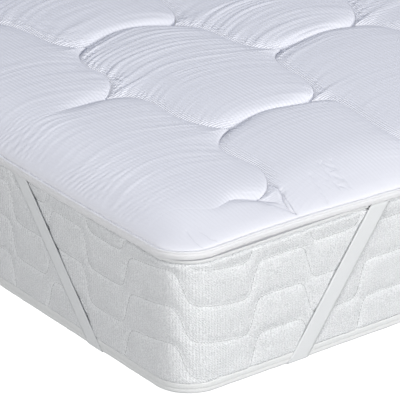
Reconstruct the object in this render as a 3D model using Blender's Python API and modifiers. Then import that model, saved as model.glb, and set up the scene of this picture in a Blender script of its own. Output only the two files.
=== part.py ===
"""A quilted mattress topper on a plain mattress, held by an elastic strap across each corner.

The origin is on the floor under the middle of the mattress. X runs across the width, Y along
the length and Z up. Quilting is laid out in (a, b): the distances in from the -X and -Y sides.
"""

import math

import bmesh
import bpy

# Mattress, in metres
MATTRESS_WIDTH = 1.35
MATTRESS_LENGTH = 1.90
MATTRESS_HEIGHT = 0.25
CORNER_RADIUS = 0.07
BODY_EDGE_ROUNDING = 0.008
ARC_STEPS = 10

# Tape that closes the mattress's top and bottom edges
TAPE_THICKNESS = 0.007
TAPE_ROUNDING = 0.0034
BOTTOM_TAPE_Z = 0.0022
BOTTOM_TAPE_HEIGHT = 0.020
TOP_TAPE_Z = 0.2390
TOP_TAPE_HEIGHT = 0.009

# Topper
TOPPER_BASE_Z = 0.2503
TOPPER_OVERHANG = 0.0002
RIM_THICKNESS = 0.013
CROWN_THICKNESS = 0.046
RIM_REACH = 0.15
RIM_POWER = 0.62

# Binding sewn round the topper's edge
BINDING_THICKNESS = 0.008
BINDING_HEIGHT = 0.015
BINDING_ROUNDING = 0.0035
BINDING_Z = 0.2515
BINDING_SIDE_STEP = 0.08
BINDING_GAP = 0.0005
WAVE_HEIGHT = 0.0055
WAVE_PER_M = (7.5, -4.9)
WAVE_START = 0.3

# Quilting: wavy column seams, joined by arched row seams in a half-drop repeat
COLUMN_COUNT = 4
FIRST_COLUMN = 0.2864
COLUMN_PITCH = 0.2725
COLUMN_SWAY = 0.0924
CUSP_POWER = 6.0
ROW_COUNT = 9
FIRST_ROW = 0.1042
ROW_PITCH = 0.2119
ARCH_HEIGHT = 0.0188
# Places where the sewing is off the repeat: (a, b, shift in a, shift in b)
SHIFTS = (
    (0.278, 0.051, -0.053, -0.001),
    (0.192, 0.118, -0.026, -0.036),
    (0.269, 0.136, 0.034, -0.020),
    (0.286, 0.210, -0.028, 0.004),
    (0.333, 0.316, 0.005, -0.002),
    (0.252, 0.539, 0.024, 0.028),
    (0.192, 0.542, -0.027, -0.017),
    (0.286, 0.634, -0.002, 0.005),
    (0.286, 0.846, 0.004, -0.012),
    (0.567, 0.157, -0.027, -0.062),
    (0.556, 0.242, 0.001, 0.026),
    (0.525, 0.327, 0.003, -0.008),
    (0.423, 0.335, 0.010, 0.005),
    (0.559, 0.422, 0.001, 0.008),
    (0.559, 0.634, -0.005, -0.007),
    (0.525, 0.750, 0.002, -0.016),
    (0.423, 0.759, 0.022, 0.010),
    (0.785, 0.528, -0.013, 0.004),
    (0.695, 0.547, 0.018, -0.007),
)
SHIFT_REACH = 0.14
SHIFT_HOLD = 0.05
ROW_FADE = (0.13, 0.26)

# Depths of the quilting below the crown, and how far from a seam they reach
BROAD_REACH = 0.12
COLUMN_BROAD = 0.002
ROW_BROAD = 0.0035
VALLEY_WIDTH = 0.010
COLUMN_VALLEY = 0.0022
ROW_VALLEY = 0.0065
CUSP_VALLEY = 0.0062
CUSP_SIZE = 0.028

# Where the grid's lines cross one quilted cell and run in from the topper's edge, in metres
EDGE_STOPS = (0.004, 0.012, 0.026, 0.048, 0.078)
CELL_STOPS = (0.0, 0.03, 0.075, 0.15, 0.27, 0.42, 0.58, 0.73, 0.85, 0.925, 0.97)
ROW_STOPS = (0.0, 0.045, 0.12, 0.25, 0.50, 0.75, 0.88, 0.955)

# Elastic straps
STRAP_WIDTH = 0.041
STRAP_THICKNESS = 0.0012
STRAP_TOP_SHORT_SIDE = 0.415
STRAP_TOP_LONG_SIDE = 0.4535
STRAP_BOTTOM = 0.2445
STRAP_FLOOR_GAP = 0.0004
STRAP_TOP_STANDOFF = 0.0045
STRAP_SIDE_STEPS = 4
STRAP_TURN_STEPS = 4
GROOVE_WIDTH = 0.034
GROOVE_DEPTH = 0.0020
CLEARANCE = 0.0003

MATERIALS = {
    "quilted_cotton": ((0.80, 0.81, 0.85, 1), 0.75),
    "binding_tape": ((0.86, 0.86, 0.89, 1), 0.60),
    "elastic": ((0.74, 0.76, 0.76, 1), 0.55),
    "mattress_knit": ((0.77, 0.79, 0.80, 1), 0.80),
    "mattress_tape": ((0.80, 0.81, 0.80, 1), 0.65),
}


def clear_scene():
    for obj in list(bpy.data.objects):
        bpy.data.objects.remove(obj, do_unlink=True)


def make_material(name):
    colour, roughness = MATERIALS[name]
    material = bpy.data.materials.new(name)
    material.use_nodes = True
    shader = material.node_tree.nodes["Principled BSDF"]
    shader.inputs["Base Color"].default_value = colour
    shader.inputs["Roughness"].default_value = roughness
    shader.inputs["Metallic"].default_value = 0.0
    return material


def add_object(name, data, collection, material=None):
    obj = bpy.data.objects.new(name, data)
    collection.objects.link(obj)
    if material:
        data.materials.append(material)
    return obj


def mesh_from(bm, name):
    mesh = bpy.data.meshes.new(name)
    bm.to_mesh(mesh)
    bm.free()
    return mesh


# ---------------------------------------------------------------- edge of the topper
def edge_wave(a, b):
    """How far the bound edge rises or dips at a place, in metres."""
    return WAVE_HEIGHT * math.sin(WAVE_START + WAVE_PER_M[0] * a + WAVE_PER_M[1] * b)


def rounded_outline(inset, side_step):
    """Points (a, b) anticlockwise round the mattress's plan, moved in by inset."""
    radius = CORNER_RADIUS - inset
    centres = (
        (MATTRESS_WIDTH - CORNER_RADIUS, MATTRESS_LENGTH - CORNER_RADIUS),
        (CORNER_RADIUS, MATTRESS_LENGTH - CORNER_RADIUS),
        (CORNER_RADIUS, CORNER_RADIUS),
        (MATTRESS_WIDTH - CORNER_RADIUS, CORNER_RADIUS),
    )
    points = []
    for corner, (centre_a, centre_b) in enumerate(centres):
        for step in range(ARC_STEPS + 1):
            angle = math.pi / 2 * (corner + step / ARC_STEPS)
            points.append((centre_a + radius * math.cos(angle), centre_b + radius * math.sin(angle)))
        if side_step is None:
            continue
        next_a, next_b = centres[(corner + 1) % 4]
        run = (next_a - centre_a, next_b - centre_b)
        steps = max(1, round(math.hypot(*run) / side_step))
        last = points[-1]
        for step in range(1, steps):
            share = step / steps
            points.append((last[0] + run[0] * share, last[1] + run[1] * share))
    return points


def rounded_section(thickness, height, rounding):
    """A closed profile curve of a flat tape with rounded edges, centred on its own middle."""
    half_t, half_h = thickness / 2, height / 2
    corner_t, corner_h = half_t - rounding, half_h - rounding
    curve = bpy.data.curves.new("tape_section", "CURVE")
    curve.dimensions = "2D"
    spline = curve.splines.new("POLY")
    corners = ((corner_t, corner_h), (-corner_t, corner_h), (-corner_t, -corner_h), (corner_t, -corner_h))
    points = []
    for quarter, (x, y) in enumerate(corners):
        for part in (0.0, 0.5, 1.0):
            angle = math.pi / 2 * (quarter + part)
            points.append((x + rounding * math.cos(angle), y + rounding * math.sin(angle)))
    spline.points.add(len(points) - 1)
    for point, (x, y) in zip(spline.points, reversed(points)):
        point.co = (x, y, 0, 1)
    spline.use_cyclic_u = True
    return curve


def tape_ring(name, inset, base_z, size, side_step, waves, collections, material):
    """A flat tape standing on edge, run right round the plan. inset is that of its middle."""
    parts, guides = collections
    thickness, height, rounding = size
    section = add_object(name + "_section", rounded_section(thickness, height, rounding), guides)
    section.hide_render = True
    curve = bpy.data.curves.new(name, "CURVE")
    curve.dimensions = "3D"
    curve.twist_mode = "Z_UP"
    curve.bevel_mode = "OBJECT"
    curve.bevel_object = section
    spline = curve.splines.new("POLY")
    outline = rounded_outline(inset, side_step)
    spline.points.add(len(outline) - 1)
    for point, (a, b) in zip(spline.points, outline):
        lift = edge_wave(a, b) if waves else 0.0
        point.co = (a, b, base_z + height / 2 + lift, 1)
    spline.use_cyclic_u = True
    ring = add_object(name, curve, parts, material)
    ring.location = (-MATTRESS_WIDTH / 2, -MATTRESS_LENGTH / 2, 0)
    return ring


# ---------------------------------------------------------------- mattress
def mattress(collections, material):
    """The plain body: a block with round corners, softened edges and a groove under each strap."""
    parts, guides = collections
    inset = TAPE_THICKNESS + CLEARANCE
    size = (MATTRESS_WIDTH - 2 * inset, MATTRESS_LENGTH - 2 * inset, MATTRESS_HEIGHT)
    bm = bmesh.new()
    bmesh.ops.create_cube(bm, size=1.0)
    bmesh.ops.scale(bm, vec=size, verts=bm.verts)
    bmesh.ops.translate(bm, vec=(0, 0, MATTRESS_HEIGHT / 2), verts=bm.verts)
    uprights = [e for e in bm.edges if abs(e.verts[0].co.z - e.verts[1].co.z) > MATTRESS_HEIGHT / 2]
    bmesh.ops.bevel(bm, geom=uprights, offset=CORNER_RADIUS - inset, segments=ARC_STEPS,
                    profile=0.5, affect="EDGES")
    rims = [e for e in bm.edges if abs(e.verts[0].co.z - e.verts[1].co.z) < BODY_EDGE_ROUNDING]
    bmesh.ops.bevel(bm, geom=rims, offset=BODY_EDGE_ROUNDING, segments=2, profile=0.5, affect="EDGES")
    body = add_object("mattress", mesh_from(bm, "mattress"), parts, material)
    for sign_x in (-1, 1):
        for sign_y in (-1, 1):
            cutter = groove_cutter(sign_x, sign_y, guides)
            cut = body.modifiers.new(cutter.name, "BOOLEAN")
            cut.operation = "DIFFERENCE"
            cut.object = cutter
    return body


def groove_cutter(sign_x, sign_y, guides):
    """A thin bar along the strap's run under one corner, half of it below the floor."""
    inset = (STRAP_BOTTOM + TAPE_ROUNDING) / 2
    length = 2 * math.sqrt(2) * inset * 1.3
    bm = bmesh.new()
    bmesh.ops.create_cube(bm, size=1.0)
    bmesh.ops.scale(bm, vec=(length, GROOVE_WIDTH, 2 * GROOVE_DEPTH), verts=bm.verts)
    name = f"groove_{'left' if sign_x < 0 else 'right'}_{'front' if sign_y < 0 else 'back'}"
    cutter = add_object(name, mesh_from(bm, name), guides)
    cutter.location = (
        sign_x * (MATTRESS_WIDTH / 2 - inset),
        sign_y * (MATTRESS_LENGTH / 2 - inset),
        0,
    )
    cutter.rotation_euler.z = -sign_x * sign_y * math.pi / 4
    cutter.hide_render = True
    cutter.display_type = "WIRE"
    return cutter


# ---------------------------------------------------------------- quilting
def column_seam(column, b):
    """The a of a column seam at b. It runs from cusp to cusp, one row pitch apart."""
    rows = (b - FIRST_ROW) / ROW_PITCH
    row = math.floor(rows)
    along = rows - row
    share = 0.5 * (1 - (1 - along) ** CUSP_POWER + along**CUSP_POWER)
    from_side = 1 if (row + column) % 2 else -1
    return FIRST_COLUMN + column * COLUMN_PITCH + COLUMN_SWAY / 2 * from_side * (1 - 2 * share)


def row_has_seam(row, strip):
    """A row seam crosses the strip to the right of column number strip on every second row."""
    return (row + strip) % 2 == 1


def row_seam(row, across):
    """The b of a row seam, arched between its two cusps. across runs from 0 to 1."""
    across = min(max(across, 0.0), 1.0)
    return FIRST_ROW + row * ROW_PITCH + ARCH_HEIGHT * (1 - (2 * across - 1) ** 2)


def valley(distance):
    """The narrow part of a seam's dip: 1 on the seam."""
    return math.exp(-(distance / VALLEY_WIDTH) ** 1.3)


def broad_dip(distance):
    """The wide part of a seam's dip: 1 on the seam."""
    return (1 - min(distance / BROAD_REACH, 1.0)) ** 2


def smooth_step(value, low, high):
    t = min(max((value - low) / (high - low), 0.0), 1.0)
    return t * t * (3 - 2 * t)


def column_gap(column, a, b):
    """How far a place is from a column seam, square to the seam."""
    slope = (column_seam(column, b + 0.001) - column_seam(column, b - 0.001)) / 0.002
    return abs(a - column_seam(column, b)) / math.hypot(1, slope)


def quilt_drop(a, b):
    """How far the quilting holds the topper's face below its crown."""
    near_column = min(column_gap(column, a, b) for column in range(COLUMN_COUNT))
    rows = (b - FIRST_ROW) / ROW_PITCH
    cusp = math.exp(-(math.hypot(near_column, (rows - round(rows)) * ROW_PITCH) / CUSP_SIZE) ** 2)
    depth = COLUMN_VALLEY + (CUSP_VALLEY - COLUMN_VALLEY) * cusp
    column_drop = COLUMN_BROAD * broad_dip(near_column) + depth * valley(near_column)

    strip = sum(column_seam(column, b) <= a for column in range(COLUMN_COUNT)) - 1
    left, right = strip_sides(strip, b)
    across = (a - left) / (right - left)
    seams = [row_seam(row, across) for row in range(ROW_COUNT) if row_has_seam(row, strip)]
    near_row = min(abs(b - seam) for seam in seams)
    row_drop = ROW_BROAD * broad_dip(near_row) + ROW_VALLEY * valley(near_row)
    if strip < 0 or strip == COLUMN_COUNT - 1:
        row_drop *= smooth_step(min(a, MATTRESS_WIDTH - a), *ROW_FADE)
    return max(column_drop, row_drop) + 0.35 * min(column_drop, row_drop)


def rim_rise(distance):
    """How far the pad has risen, from 0 at its bound edge to 1 in the field."""
    t = min(distance / RIM_REACH, 1.0)
    return (1 - (1 - t) ** 2) ** RIM_POWER


def topper_top(a, b, drop):
    """Height of the topper's upper face above the floor, where the quilting holds it down by drop."""
    rise = rim_rise(min(a, MATTRESS_WIDTH - a)) * rim_rise(min(b, MATTRESS_LENGTH - b))
    edge = RIM_THICKNESS + edge_wave(a, b) * (1 - rise)
    return TOPPER_BASE_Z + edge + (CROWN_THICKNESS - drop - RIM_THICKNESS) * rise


def edge_strip_stops(width):
    """Shares across a strip, from the topper's edge at 0 to the strip's only column seam at 1."""
    stops = [0.0] + [stop / width for stop in EDGE_STOPS]
    seam_side = [1 - stop * COLUMN_PITCH / width for stop in reversed(CELL_STOPS) if 0 < stop < 0.5]
    gap = seam_side[0] - stops[-1]
    return stops + [stops[-1] + gap / 3, stops[-1] + gap * 2 / 3] + seam_side


def grid_columns():
    """(strip, share of its width) of each grid line that runs along the length."""
    last = COLUMN_COUNT - 1
    far_width = MATTRESS_WIDTH - FIRST_COLUMN - last * COLUMN_PITCH
    lines = [(-1, stop) for stop in edge_strip_stops(FIRST_COLUMN)]
    for strip in range(last):
        lines += [(strip, stop) for stop in CELL_STOPS]
    return lines + [(last, 0.0)] + [(last, 1 - stop) for stop in reversed(edge_strip_stops(far_width))]


def grid_rows():
    """The v of each grid line across the width, before the rows arch."""
    levels = [FIRST_ROW + row * ROW_PITCH for row in range(ROW_COUNT)]
    ends = [0.0, *EDGE_STOPS, (EDGE_STOPS[-1] + levels[0]) / 2]
    lines = [v for v in ends if v < levels[0] - 0.01]
    for level in levels[:-1]:
        lines += [level + stop * ROW_PITCH for stop in ROW_STOPS]
    lines.append(levels[-1])
    lines += [MATTRESS_LENGTH - v for v in reversed(ends) if MATTRESS_LENGTH - v > levels[-1] + 0.01]
    return lines


def arch_lift(strip, across, v):
    """How far a grid line bends to follow the arched seam of its strip, fading between seams."""
    lift = 0.0
    for row in range(ROW_COUNT):
        level = FIRST_ROW + row * ROW_PITCH
        reach = min(ROW_PITCH, level, MATTRESS_LENGTH - level)
        if row_has_seam(row, strip) and abs(v - level) < reach:
            lift += (row_seam(row, across) - level) * (1 - abs(v - level) / reach)
    return lift


def strip_sides(strip, b):
    """The a of a strip's two sides at b. The outer strips end at the topper's edge."""
    left = column_seam(strip, b) if strip >= 0 else 0.0
    right = column_seam(strip + 1, b) if strip < COLUMN_COUNT - 1 else MATTRESS_WIDTH
    return left, right


def grid_point(strip, share, v):
    """The (a, b) of one crossing of the grid, on a square plan and an even repeat."""
    b = v + arch_lift(strip, share, v)
    left, right = strip_sides(strip, b)
    return left + share * (right - left), b


def shift_off_repeat(a, b):
    """Moves what lies round the places that are off the repeat. The topper's edge stays put."""
    moved_a, moved_b = a, b
    free_a, free_b = smooth_step(a, 0.0, SHIFT_HOLD), smooth_step(b, 0.0, SHIFT_HOLD)
    for place_a, place_b, shift_a, shift_b in SHIFTS:
        near = max(0.0, 1 - ((a - place_a) ** 2 + (b - place_b) ** 2) / SHIFT_REACH**2) ** 2
        moved_a += shift_a * near * free_a
        moved_b += shift_b * near * free_b
    return moved_a, moved_b


def round_corner(a, b):
    """Draws the square plan's corners in to the rounded outline."""
    centre_a = min(max(a, CORNER_RADIUS), MATTRESS_WIDTH - CORNER_RADIUS)
    centre_b = min(max(b, CORNER_RADIUS), MATTRESS_LENGTH - CORNER_RADIUS)
    past_a, past_b = a - centre_a, b - centre_b
    reach = math.hypot(past_a, past_b)
    if abs(past_a) < 1e-9 or abs(past_b) < 1e-9:
        return a, b
    shrink = max(abs(past_a), abs(past_b)) / reach
    return centre_a + past_a * shrink, centre_b + past_b * shrink


def topper(collections, material):
    """One filled solid: flat underneath, quilted and crowned on top."""
    columns, rows = grid_columns(), grid_rows()
    bm = bmesh.new()
    bmesh.ops.create_grid(bm, x_segments=len(columns) - 1, y_segments=len(rows) - 1, size=0.5)
    bm.verts.ensure_lookup_table()
    stretch = 1 + 2 * TOPPER_OVERHANG / MATTRESS_WIDTH
    for index, vert in enumerate(bm.verts):
        strip, share = columns[index % len(columns)]
        even_a, even_b = grid_point(strip, share, rows[index // len(columns)])
        a, b = shift_off_repeat(even_a, even_b)
        height = topper_top(a, b, quilt_drop(even_a, even_b))
        round_a, round_b = round_corner(a, b)
        vert.co = (
            (round_a - MATTRESS_WIDTH / 2) * stretch,
            (round_b - MATTRESS_LENGTH / 2) * stretch,
            height,
        )
    rim = [edge for edge in bm.edges if edge.is_boundary]
    skirt = bmesh.ops.extrude_edge_only(bm, edges=rim)["geom"]
    for vert in skirt:
        if isinstance(vert, bmesh.types.BMVert):
            vert.co.z = TOPPER_BASE_Z
    base = [edge for edge in bm.edges if edge.is_boundary]
    bmesh.ops.edgeloop_fill(bm, edges=base)
    bmesh.ops.recalc_face_normals(bm, faces=bm.faces)
    return add_object("topper", mesh_from(bm, "topper"), collections[0], material)


# ---------------------------------------------------------------- straps
def strap_side(rail, top_centre, wave):
    """Points (across, along, z) down one edge of a strap and round the bottom tape.

    across is measured in from the side that the strap lies on and along from the corner. rail is
    -1 for the edge nearer the corner and 1 for the other, top_centre is where along the strap is
    sewn on, and wave(across, along) is how far the binding above it is off level.
    """
    reach = BOTTOM_TAPE_Z + TAPE_ROUNDING - STRAP_FLOOR_GAP - STRAP_THICKNESS / 2
    centre_z = BOTTOM_TAPE_Z + TAPE_ROUNDING
    top_along = top_centre + rail * STRAP_WIDTH / 2
    bottom_along = STRAP_BOTTOM + rail * STRAP_WIDTH / 2
    top = (
        -STRAP_TOP_STANDOFF,
        top_along,
        BINDING_Z - 3 * CLEARANCE + wave(-STRAP_TOP_STANDOFF, top_along),
    )
    bottom = (TAPE_ROUNDING - reach, bottom_along, centre_z)
    points = []
    for step in range(STRAP_SIDE_STEPS):
        share = step / STRAP_SIDE_STEPS
        points.append(tuple(high + (low - high) * share for high, low in zip(top, bottom)))
    for step in range(STRAP_TURN_STEPS + 1):
        angle = math.pi / 2 * step / STRAP_TURN_STEPS
        across = TAPE_ROUNDING - reach * math.cos(angle)
        points.append((across, bottom_along, centre_z - reach * math.sin(angle)))
    return points


def strap(sign_x, sign_y, collections, material):
    """An elastic tape from under the binding, down one side, under the corner and up the other."""
    def wave(from_x_side, from_y_side):
        a = from_x_side if sign_x < 0 else MATTRESS_WIDTH - from_x_side
        b = from_y_side if sign_y < 0 else MATTRESS_LENGTH - from_y_side
        return edge_wave(a, b)

    bm = bmesh.new()
    rails = []
    for rail in (-1, 1):
        down = strap_side(rail, STRAP_TOP_LONG_SIDE, wave)
        up = strap_side(rail, STRAP_TOP_SHORT_SIDE, lambda across, along: wave(along, across))
        path = down + [(along, across, z) for across, along, z in reversed(up)]
        rails.append([
            bm.verts.new((
                sign_x * (MATTRESS_WIDTH / 2 - from_x_side),
                sign_y * (MATTRESS_LENGTH / 2 - from_y_side),
                z,
            ))
            for from_x_side, from_y_side, z in path
        ])
    near, far = rails
    for index in range(len(near) - 1):
        bm.faces.new((near[index], near[index + 1], far[index + 1], far[index]))
    bmesh.ops.recalc_face_normals(bm, faces=bm.faces)
    name = f"strap_{'left' if sign_x < 0 else 'right'}_{'front' if sign_y < 0 else 'back'}"
    obj = add_object(name, mesh_from(bm, name), collections[0], material)
    shell = obj.modifiers.new("thickness", "SOLIDIFY")
    shell.thickness = STRAP_THICKNESS
    shell.offset = 0
    shell.use_even_offset = True
    return obj


def main():
    clear_scene()
    parts = bpy.data.collections.new("mattress_topper")
    guides = bpy.data.collections.new("guides")
    for collection in (parts, guides):
        bpy.context.scene.collection.children.link(collection)
    collections = (parts, guides)
    materials = {name: make_material(name) for name in MATERIALS}

    mattress(collections, materials["mattress_knit"])
    tapes = (
        ("mattress_tape_bottom", BOTTOM_TAPE_Z, BOTTOM_TAPE_HEIGHT),
        ("mattress_tape_top", TOP_TAPE_Z, TOP_TAPE_HEIGHT),
    )
    for name, base_z, height in tapes:
        tape_size = (TAPE_THICKNESS, height, TAPE_ROUNDING)
        tape_ring(name, TAPE_THICKNESS / 2, base_z, tape_size, None, False, collections,
                  materials["mattress_tape"])
    topper(collections, materials["quilted_cotton"])
    binding_size = (BINDING_THICKNESS, BINDING_HEIGHT, BINDING_ROUNDING)
    binding_inset = -(TOPPER_OVERHANG + BINDING_GAP + BINDING_THICKNESS / 2)
    tape_ring("binding", binding_inset, BINDING_Z, binding_size, BINDING_SIDE_STEP, True,
              collections, materials["binding_tape"])
    for sign_x in (-1, 1):
        for sign_y in (-1, 1):
            strap(sign_x, sign_y, collections, materials["elastic"])


main()
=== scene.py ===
import math

import bmesh
import bpy
import numpy as np
from mathutils import Matrix, Vector, kdtree


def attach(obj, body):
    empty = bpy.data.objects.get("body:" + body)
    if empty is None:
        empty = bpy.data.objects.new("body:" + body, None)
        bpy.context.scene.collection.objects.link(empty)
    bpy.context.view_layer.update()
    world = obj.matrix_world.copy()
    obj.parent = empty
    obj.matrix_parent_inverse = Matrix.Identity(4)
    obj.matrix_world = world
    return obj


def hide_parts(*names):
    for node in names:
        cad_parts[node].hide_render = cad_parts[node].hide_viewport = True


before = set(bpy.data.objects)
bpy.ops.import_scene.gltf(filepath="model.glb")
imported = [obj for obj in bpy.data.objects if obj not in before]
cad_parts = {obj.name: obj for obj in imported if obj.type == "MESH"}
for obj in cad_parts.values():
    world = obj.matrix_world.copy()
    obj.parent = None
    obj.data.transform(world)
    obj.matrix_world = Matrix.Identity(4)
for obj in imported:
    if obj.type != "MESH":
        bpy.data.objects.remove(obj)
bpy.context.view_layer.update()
scene = bpy.context.scene
print("frame loaded")


def addObject(name, data):
    obj = bpy.data.objects.new(name, data)
    scene.collection.objects.link(obj)
    return obj


def newMaterial(name, look):
    material = bpy.data.materials.new(name)
    material.use_nodes = True
    shader = material.node_tree.nodes["Principled BSDF"]
    shader.inputs["Base Color"].default_value = (*look["colour"], 1)
    shader.inputs["Roughness"].default_value = look["roughness"]
    return material, material.node_tree


# camera, light and floor

view = {"yaw": 36.29, "pitch": 25.98, "roll": -0.43, "lens": 419.2, "place": (-4.651, -6.423, 3.670)}

lights = {
    # name: place, size, watts, colour
    "key": ((1.5, -6.3, 3.0), 1.9, 312.0, (1.0, 0.995, 0.98)),
    "overhead": ((0.2, -0.2, 4.4), 2.6, 40.0, (0.64, 0.72, 1.0)),
    "leftFill": ((-5.2, -2.9, 2.15), 2.4, 172.0, (1.0, 0.99, 0.97)),
}

studio = {
    "aim": (-0.3, -0.6, 0.25), "surround": (0.93, 0.96, 1.0, 1), "surroundLight": 0.235,
    "reach": 30, "colour": (0.92, 0.92, 0.92), "roughness": 0.9, "glow": 0.9,
}


def addCamera():
    data = bpy.data.cameras.new("camera")
    data.lens = view["lens"]
    data.sensor_width = 36
    data.clip_end = 60
    camera = addObject("camera", data)
    turn = Matrix()
    for angle, axis in ((-view["yaw"], "Z"), (90 - view["pitch"], "X"), (view["roll"], "Z")):
        turn @= Matrix.Rotation(math.radians(angle), 4, axis)
    camera.matrix_world = Matrix.Translation(view["place"]) @ turn
    scene.camera = camera


def addLights():
    for name, (place, size, watts, colour) in lights.items():
        data = bpy.data.lights.new(name, "AREA")
        data.shape = "DISK"
        data.size = size
        data.energy = watts
        data.color = colour
        lamp = addObject(name, data)
        lamp.location = place
        lamp.rotation_euler = (Vector(studio["aim"]) - lamp.location).to_track_quat("-Z", "Y").to_euler()
    world = bpy.data.worlds.new("studio")
    scene.world = world
    world.use_nodes = True
    background = world.node_tree.nodes["Background"]
    background.inputs["Color"].default_value = studio["surround"]
    background.inputs["Strength"].default_value = studio["surroundLight"]
    scene.view_settings.view_transform = "Standard"


def addFloor():
    mesh = bpy.data.meshes.new("floor")
    reach = studio["reach"]
    mesh.from_pydata([(-reach, -reach, 0), (reach, -reach, 0), (reach, reach, 0), (-reach, reach, 0)],
                     [], [(0, 1, 2, 3)])
    floor = addObject("floor", mesh)
    paint, tree = newMaterial("paleFloor", studio)
    shader = tree.nodes["Principled BSDF"]
    shader.inputs["Emission Color"].default_value = (1, 1, 1, 1)
    shader.inputs["Emission Strength"].default_value = studio["glow"]
    mesh.materials.append(paint)
    floor.visible_diffuse = False  # white in the picture, without lighting the cloth from below


addCamera()
addLights()
addFloor()
print("camera, lights and floor")

# shared helpers


def cellNoise(x, y, seed):  # smooth noise, about -0.7 to 0.7, one bump per unit
    x, y = np.broadcast_arrays(np.asarray(x, float), np.asarray(y, float))
    left, low = np.floor(x), np.floor(y)
    fx, fy = x - left, y - low
    ease = lambda t: t * t * t * (t * (t * 6 - 15) + 10)

    def corner(stepX, stepY):
        turn = np.sin((left + stepX) * 127.1 + (low + stepY) * 311.7 + seed * 74.7) * 43758.5453
        turn = (turn - np.floor(turn)) * 2 * math.pi
        return np.cos(turn) * (fx - stepX) + np.sin(turn) * (fy - stepY)

    near = corner(0, 0) + (corner(1, 0) - corner(0, 0)) * ease(fx)
    far = corner(0, 1) + (corner(1, 1) - corner(0, 1)) * ease(fx)
    return near + (far - near) * ease(fy)


def smoothStep(value, low, high):
    t = np.clip((value - low) / (high - low), 0, 1)
    return t * t * (3 - 2 * t)


def ripples(place, pitch, shift=0.0):
    return np.sin(2 * math.pi * (place / pitch + shift))


def nearestOf(gaps):  # of several signed distances, the one nearest 0 and its place in the list
    gaps = np.stack(gaps)
    nearest = np.abs(gaps).argmin(0)
    return np.take_along_axis(gaps, nearest[None], 0)[0], nearest


def seamGaps(s, z, runs):  # how far each point (s, z) is from the nearest of the runs
    tree = kdtree.KDTree(sum(len(run[0]) for run in runs))
    for count, point in enumerate((x, y, 0) for run in runs for x, y in zip(*run)):
        tree.insert(point, count)
    tree.balance()
    return np.array([tree.find((x, y, 0))[2] for x, y in zip(s.ravel(), z.ravel())]).reshape(s.shape)


def addPiece(name, mesh):
    print(name, len(mesh.polygons), "faces")
    piece = addObject(name, mesh)
    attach(piece, "root")
    return piece


def meshPiece(name, points, faces, material):
    mesh = bpy.data.meshes.new(name)
    mesh.from_pydata(np.asarray(points).tolist(), [], faces)
    mesh.polygons.foreach_set("use_smooth", [True] * len(mesh.polygons))
    mesh.materials.append(material)
    return addPiece(name, mesh)


def floatAttribute(mesh, name, values):
    layer = mesh.attributes.new(name, "FLOAT", "POINT")
    layer.data.foreach_set("value", np.asarray(values, float).ravel())


def gridFaces(index):  # between the rows and columns of a grid of vertex numbers
    faces = np.stack([index[:-1, :-1], index[:-1, 1:], index[1:, 1:], index[1:, :-1]], -1)
    return faces.reshape(-1, 4).tolist()


def tubeFaces(rows, around):  # rings of vertices, with both ends closed
    index = np.arange(rows * around).reshape(rows, around)
    faces = gridFaces(np.concatenate([index, index[:, :1]], axis=1))
    return faces + [index[0, ::-1].tolist(), index[-1].tolist()]


def pathObject(name, runs):  # edges only: each run is (points, closed)
    points, edges = [], []
    for run, closed in runs:
        start = len(points)
        points += [tuple(point) for point in run]
        edges += [(start + i, start + i + 1) for i in range(len(run) - 1)]
        if closed:
            edges.append((start + len(run) - 1, start))
    mesh = bpy.data.meshes.new(name + "Path")
    mesh.from_pydata(points, edges, [])
    return addObject(name + "Path", mesh)


def newTree(name, floats):
    tree = bpy.data.node_groups.new(name, "GeometryNodeTree")
    tree.is_modifier = True
    for key in ("Geometry", *floats, "Material"):
        kind = "Float" if key in floats else key
        tree.interface.new_socket(key, in_out="INPUT", socket_type="NodeSocket" + kind)
    tree.interface.new_socket("Geometry", in_out="OUTPUT", socket_type="NodeSocketGeometry")
    return tree, tree.nodes.new("NodeGroupInput").outputs


def runTree(tree, path, name, values, material):  # the tree's result as a plain mesh
    modifier = path.modifiers.new(tree.name, "NODES")
    modifier.node_group = tree
    values = {**values, "Material": material}
    for item in tree.interface.items_tree:
        if item.in_out == "INPUT" and item.name in values:
            modifier[item.identifier] = values[item.name]
    bpy.context.view_layer.update()
    depsgraph = bpy.context.evaluated_depsgraph_get()
    mesh = bpy.data.meshes.new_from_object(path.evaluated_get(depsgraph))
    path.modifiers.remove(modifier)
    bpy.data.objects.remove(path, do_unlink=True)
    mesh.name = name
    return addPiece(name, mesh)


def addNode(tree, kind, sockets=None, **settings):  # gives the outputs; sockets are set to values or linked
    node = tree.nodes.new(kind)
    for name, value in settings.items():
        setattr(node, name, value)
    for name, value in (sockets or {}).items():
        if isinstance(value, bpy.types.NodeSocket):
            tree.links.new(value, node.inputs[name])
        else:
            node.inputs[name].default_value = value
    return node.outputs


def geoNode(tree, kind, sockets=None, **settings):
    return addNode(tree, "GeometryNode" + kind, sockets, **settings)[0]


def addMath(tree, operation, *values):
    return addNode(tree, "ShaderNodeMath", dict(enumerate(values)), operation=operation)[0]


def plus(tree, first, second):
    return addMath(tree, "ADD", first, second)


def times(tree, first, second):
    return addMath(tree, "MULTIPLY", first, second)


def timesPlus(tree, first, second, third):  # first * second + third
    return addMath(tree, "MULTIPLY_ADD", first, second, third)


def bell(tree, ratio):  # 1 where the ratio is 0, and soon 0 on both sides
    return addMath(tree, "EXPONENT", times(tree, times(tree, ratio, ratio), -1.0))


# outline of the mattress and the topper, in (a, b): the distances in from the -X and -Y sides

plan = {"width": 1.35, "length": 1.90, "cornerRadius": 0.07}


def perimeter():
    straight = plan["width"] + plan["length"] - 4 * plan["cornerRadius"]
    return 2 * straight + 2 * math.pi * plan["cornerRadius"]


def cornerStops():  # the near corner is at 0, and the others lie at these distances along the outline
    arc = math.pi / 2 * plan["cornerRadius"]
    front = plan["width"] - 2 * plan["cornerRadius"] + arc
    return 0.0, front, -(plan["length"] - 2 * plan["cornerRadius"] + arc), perimeter() / 2


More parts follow.
